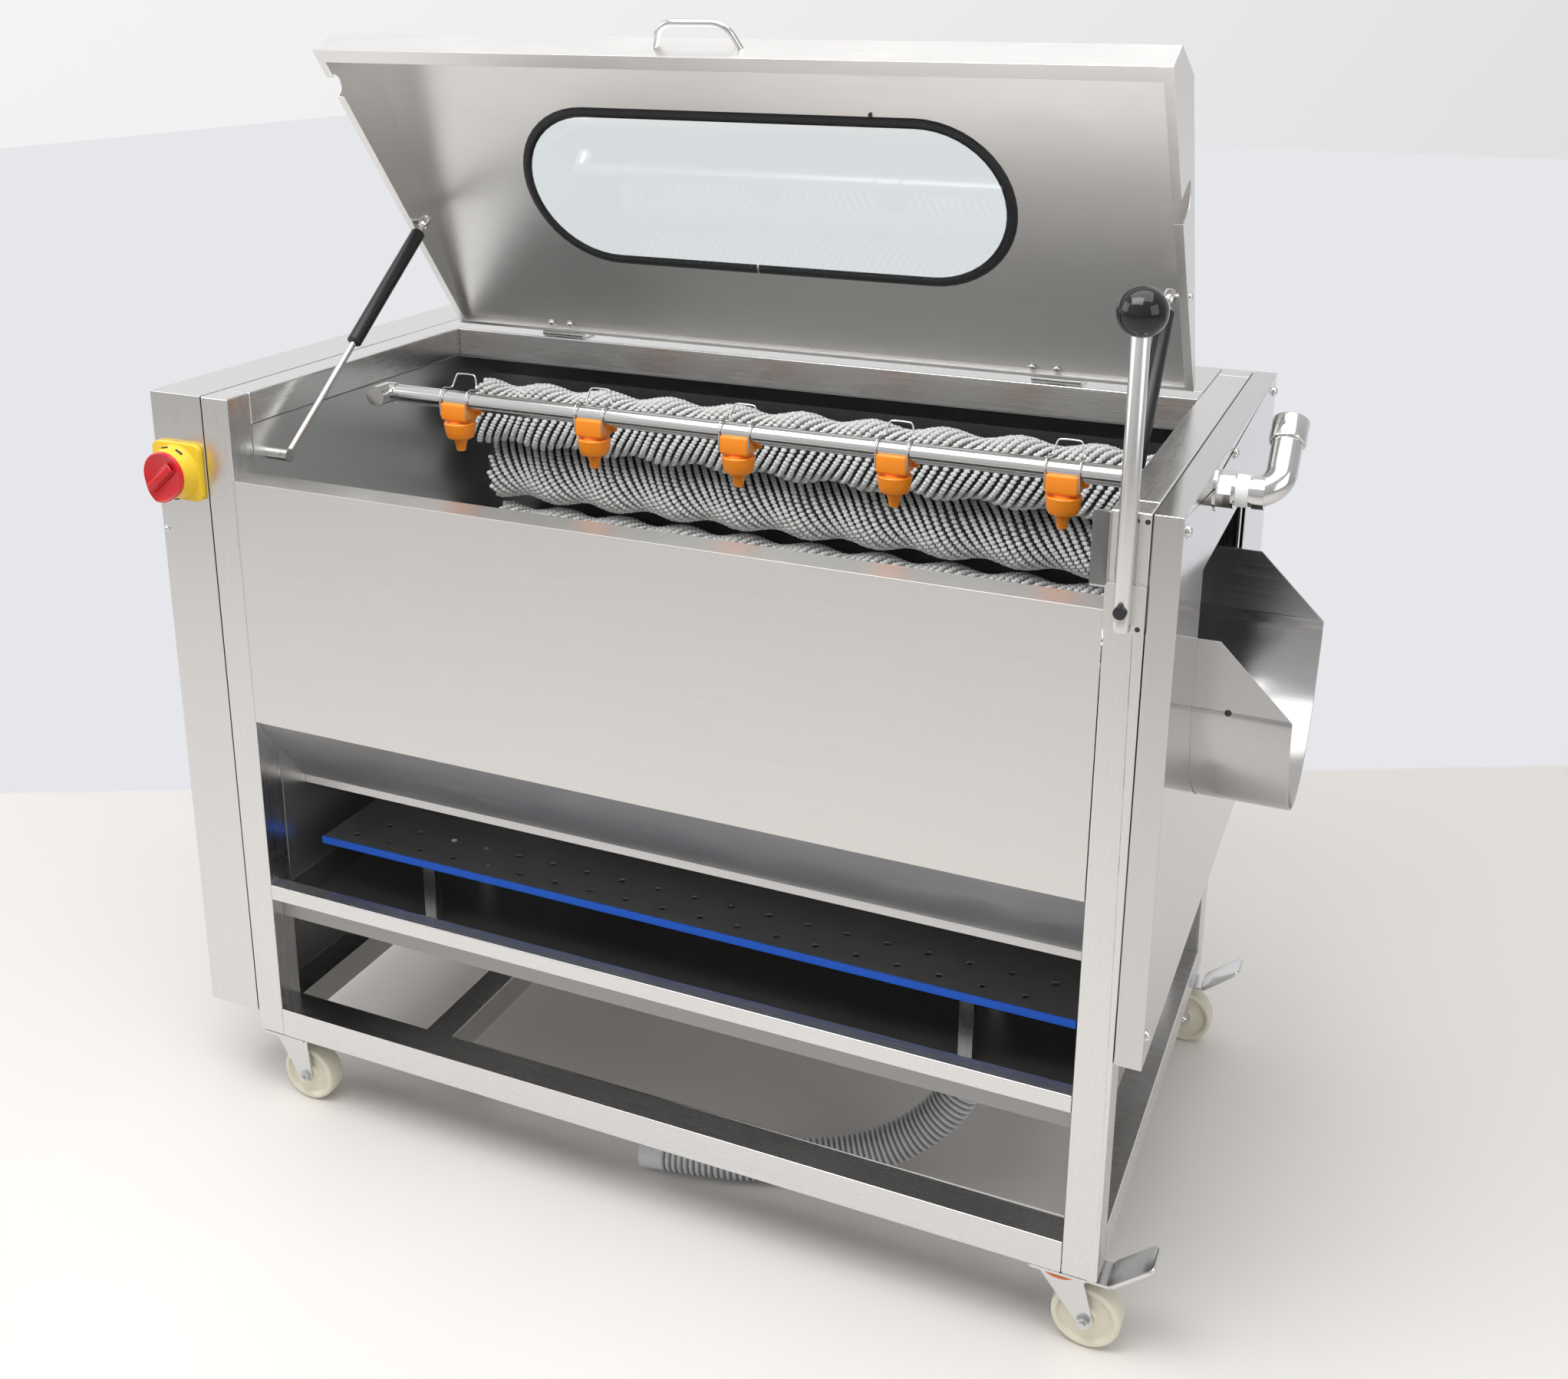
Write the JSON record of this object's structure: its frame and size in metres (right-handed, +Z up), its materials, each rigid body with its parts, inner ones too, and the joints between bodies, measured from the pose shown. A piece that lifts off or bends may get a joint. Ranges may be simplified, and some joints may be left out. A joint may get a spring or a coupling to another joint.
{
  "type": "brush roller potato peeler",
  "caption": "Stainless frame on casters holding a U of brush rollers under a hinged lid with a window, with spray bar, side discharge gate and drain hose.",
  "frame": {"origin": "on the floor under the middle of the outline", "axes": "+X along the rollers to the discharge side, +Y to the back, +Z up"},
  "size_m": [1.2738, 0.6784, 1.3447],
  "materials": {
    "frame_steel": "brushed square tube",
    "panel_steel": "satin sheet",
    "apron_steel": "satin sheet",
    "inner_steel": "satin sheet in shadow",
    "mirror_steel": "polished sheet",
    "chute_steel": "polished rolled sheet",
    "lid_steel": "satin sheet",
    "bright_steel": "bright turned and drawn steel",
    "bracket_steel": "cut and folded sheet",
    "tray_steel": "dull sheet",
    "zinc_steel": "zinc-plated pressing",
    "bristle": "tufted nylon bristle",
    "nylon_wheel": "cream nylon",
    "window_glass": "clear sheet",
    "seal_rubber": "black rubber section",
    "orange_plastic": "moulded",
    "yellow_plastic": "moulded",
    "red_plastic": "moulded",
    "black_knob": "polished phenolic ball",
    "black_paint": "black stoved paint",
    "blue_strip": "blue edge strip",
    "grey_hose": "corrugated flexible hose"
  },
  "bodies": {
    "frame": {"frame_posts": "frame_steel", "end_top_rails": "frame_steel", "bottom_rails": "frame_steel", "bottom_cross_bar": "frame_steel", "middle_rails": "frame_steel", "hinge_rail": "frame_steel", "rear_deck": "panel_steel", "rear_panel": "panel_steel", "front_panel": "panel_steel", "front_apron": "apron_steel", "drum_back_wall": "inner_steel", "left_end_wall": "inner_steel", "right_end_wall": "inner_steel", "left_cover": "panel_steel", "right_cover": "mirror_steel", "discharge_chute": "chute_steel", "lever_bracket": "bracket_steel", "drip_tray": "tray_steel", "drain_spout": "bright_steel", "perforated_shelf": "apron_steel", "shelf_edge_strip": "blue_strip", "shelf_supports": "frame_steel", "spray_bar": "bright_steel", "spray_nozzles": "orange_plastic", "water_inlet": "bright_steel", "switch_base": "yellow_plastic", "wall_fittings": "bright_steel", "fixed_casters": "zinc_steel", "swivel_plates": "zinc_steel", "drain_hose": "grey_hose"},
    "gate": {"discharge_gate": "inner_steel", "gate_lever": "bright_steel", "lever_ball": "black_knob"},
    "lid": {"lid_shell": "lid_steel", "lid_window": "window_glass", "window_seal": "seal_rubber", "lid_handle": "bright_steel", "lid_fittings": "bright_steel"},
    "switch_knob": {"switch_knob": "red_plastic"},
    "spring_rod_left": {"spring_rod_left": "bright_steel"},
    "spring_cylinder_left": {"spring_cylinder_left": "black_paint"},
    "spring_rod_right": {"spring_rod_right": "bright_steel"},
    "spring_cylinder_right": {"spring_cylinder_right": "black_paint"},
    "roller_1": {"brush_roller_1": "bristle"},
    "roller_2": {"brush_roller_2": "bristle"},
    "roller_3": {"brush_roller_3": "bristle"},
    "roller_4": {"brush_roller_4": "bristle"},
    "roller_5": {"brush_roller_5": "bristle"},
    "roller_6": {"brush_roller_6": "bristle"},
    "roller_7": {"brush_roller_7": "bristle"},
    "roller_8": {"brush_roller_8": "bristle"},
    "roller_9": {"brush_roller_9": "bristle"},
    "swivel_front_right": {"swivel_fork_front_right": "zinc_steel"},
    "swivel_rear_right": {"swivel_fork_rear_right": "zinc_steel"},
    "wheel_front_left": {"wheel_front_left": "nylon_wheel"},
    "wheel_front_right": {"wheel_front_right": "nylon_wheel"},
    "wheel_rear_left": {"wheel_rear_left": "nylon_wheel"},
    "wheel_rear_right": {"wheel_rear_right": "nylon_wheel"}
  },
  "joints": [
    {"name": "lid_hinge", "type": "hinge", "parent": "frame", "child": "lid", "pos_m": [-0.0251, 0.16515, 0.934], "axis": [1, 0, 0], "range_deg": [0, 65]},
    {"name": "spring_pivot_left", "type": "hinge", "parent": "frame", "child": "spring_rod_left", "pos_m": [-0.4991, -0.23685, 0.851], "axis": [1, 0, 0], "range_deg": [-24.93, 0]},
    {"name": "spring_stroke_left", "type": "slide", "parent": "spring_rod_left", "child": "spring_cylinder_left", "axis": [0, 0.7816, 0.6238], "range_m": [-0.15571, 0]},
    {"name": "spring_pivot_right", "type": "hinge", "parent": "frame", "child": "spring_rod_right", "pos_m": [0.4489, -0.17285, 0.745], "axis": [1, 0, 0], "range_deg": [-10.43, 0]},
    {"name": "spring_stroke_right", "type": "slide", "parent": "spring_rod_right", "child": "spring_cylinder_right", "axis": [0, 0.6245, 0.781], "range_m": [-0.15316, 0]},
    {"name": "gate_hinge", "type": "hinge", "parent": "frame", "child": "gate", "pos_m": [0.4939, -0.30085, 0.841], "axis": [0, -1, 0], "range_deg": [0, 55]},
    {"name": "switch_turn", "type": "hinge", "parent": "frame", "child": "switch_knob", "pos_m": [-0.6004, -0.32085, 0.838], "axis": [0, 1, 0], "range_deg": [0, 90]},
    {"name": "roller_spin_1", "type": "hinge", "parent": "frame", "child": "roller_1", "pos_m": [-0.0251, 0.15348, 0.81883], "axis": [1, 0, 0], "continuous": true},
    {"name": "roller_spin_2", "type": "hinge", "parent": "frame", "child": "roller_2", "pos_m": [-0.0251, 0.19363, 0.72989], "axis": [1, 0, 0], "continuous": true},
    {"name": "roller_spin_3", "type": "hinge", "parent": "frame", "child": "roller_3", "pos_m": [-0.0251, 0.18836, 0.63246], "axis": [1, 0, 0], "continuous": true},
    {"name": "roller_spin_4", "type": "hinge", "parent": "frame", "child": "roller_4", "pos_m": [-0.0251, 0.13883, 0.54838], "axis": [1, 0, 0], "continuous": true},
    {"name": "roller_spin_5", "type": "hinge", "parent": "frame", "child": "roller_5", "pos_m": [-0.0251, 0.05617, 0.49653], "axis": [1, 0, 0], "continuous": true},
    {"name": "roller_spin_6", "type": "hinge", "parent": "frame", "child": "roller_6", "pos_m": [-0.0251, -0.04108, 0.48854], "axis": [1, 0, 0], "continuous": true},
    {"name": "roller_spin_7", "type": "hinge", "parent": "frame", "child": "roller_7", "pos_m": [-0.0251, -0.13109, 0.52619], "axis": [1, 0, 0], "continuous": true},
    {"name": "roller_spin_8", "type": "hinge", "parent": "frame", "child": "roller_8", "pos_m": [-0.0251, -0.19369, 0.60105], "axis": [1, 0, 0], "continuous": true},
    {"name": "roller_spin_9", "type": "hinge", "parent": "frame", "child": "roller_9", "pos_m": [-0.0251, -0.2148, 0.69631], "axis": [1, 0, 0], "continuous": true},
    {"name": "swivel_front_right", "type": "hinge", "parent": "frame", "child": "swivel_front_right", "pos_m": [0.4719, -0.27085, 0.09], "axis": [0, 0, 1], "range_deg": [-25, 25]},
    {"name": "swivel_rear_right", "type": "hinge", "parent": "frame", "child": "swivel_rear_right", "pos_m": [0.4719, 0.30915, 0.09], "axis": [0, 0, 1], "range_deg": [-25, 25]},
    {"name": "wheel_spin_front_left", "type": "hinge", "parent": "frame", "child": "wheel_front_left", "pos_m": [-0.5071, -0.27085, 0.0375], "axis": [0, 1, 0], "continuous": true},
    {"name": "wheel_spin_rear_left", "type": "hinge", "parent": "frame", "child": "wheel_rear_left", "pos_m": [-0.5071, 0.30915, 0.0375], "axis": [0, 1, 0], "continuous": true},
    {"name": "wheel_spin_front_right", "type": "hinge", "parent": "swivel_front_right", "child": "wheel_front_right", "pos_m": [0.4999, -0.27085, 0.0375], "axis": [0, 1, 0], "continuous": true},
    {"name": "wheel_spin_rear_right", "type": "hinge", "parent": "swivel_rear_right", "child": "wheel_rear_right", "pos_m": [0.4999, 0.30915, 0.0375], "axis": [0, 1, 0], "continuous": true}
  ],
  "couplings": [
    {"joint": "spring_pivot_left", "follows": "lid_hinge", "ratio": -0.38354},
    {"joint": "spring_stroke_left", "follows": "lid_hinge", "m_per_rad": -0.13725},
    {"joint": "spring_pivot_right", "follows": "lid_hinge", "ratio": -0.16043},
    {"joint": "spring_stroke_right", "follows": "lid_hinge", "m_per_rad": -0.13501},
    {"joint": "roller_spin_2", "follows": "roller_spin_1", "ratio": 1},
    {"joint": "roller_spin_3", "follows": "roller_spin_1", "ratio": 1},
    {"joint": "roller_spin_4", "follows": "roller_spin_1", "ratio": 1},
    {"joint": "roller_spin_5", "follows": "roller_spin_1", "ratio": 1},
    {"joint": "roller_spin_6", "follows": "roller_spin_1", "ratio": 1},
    {"joint": "roller_spin_7", "follows": "roller_spin_1", "ratio": 1},
    {"joint": "roller_spin_8", "follows": "roller_spin_1", "ratio": 1},
    {"joint": "roller_spin_9", "follows": "roller_spin_1", "ratio": 1}
  ]
}
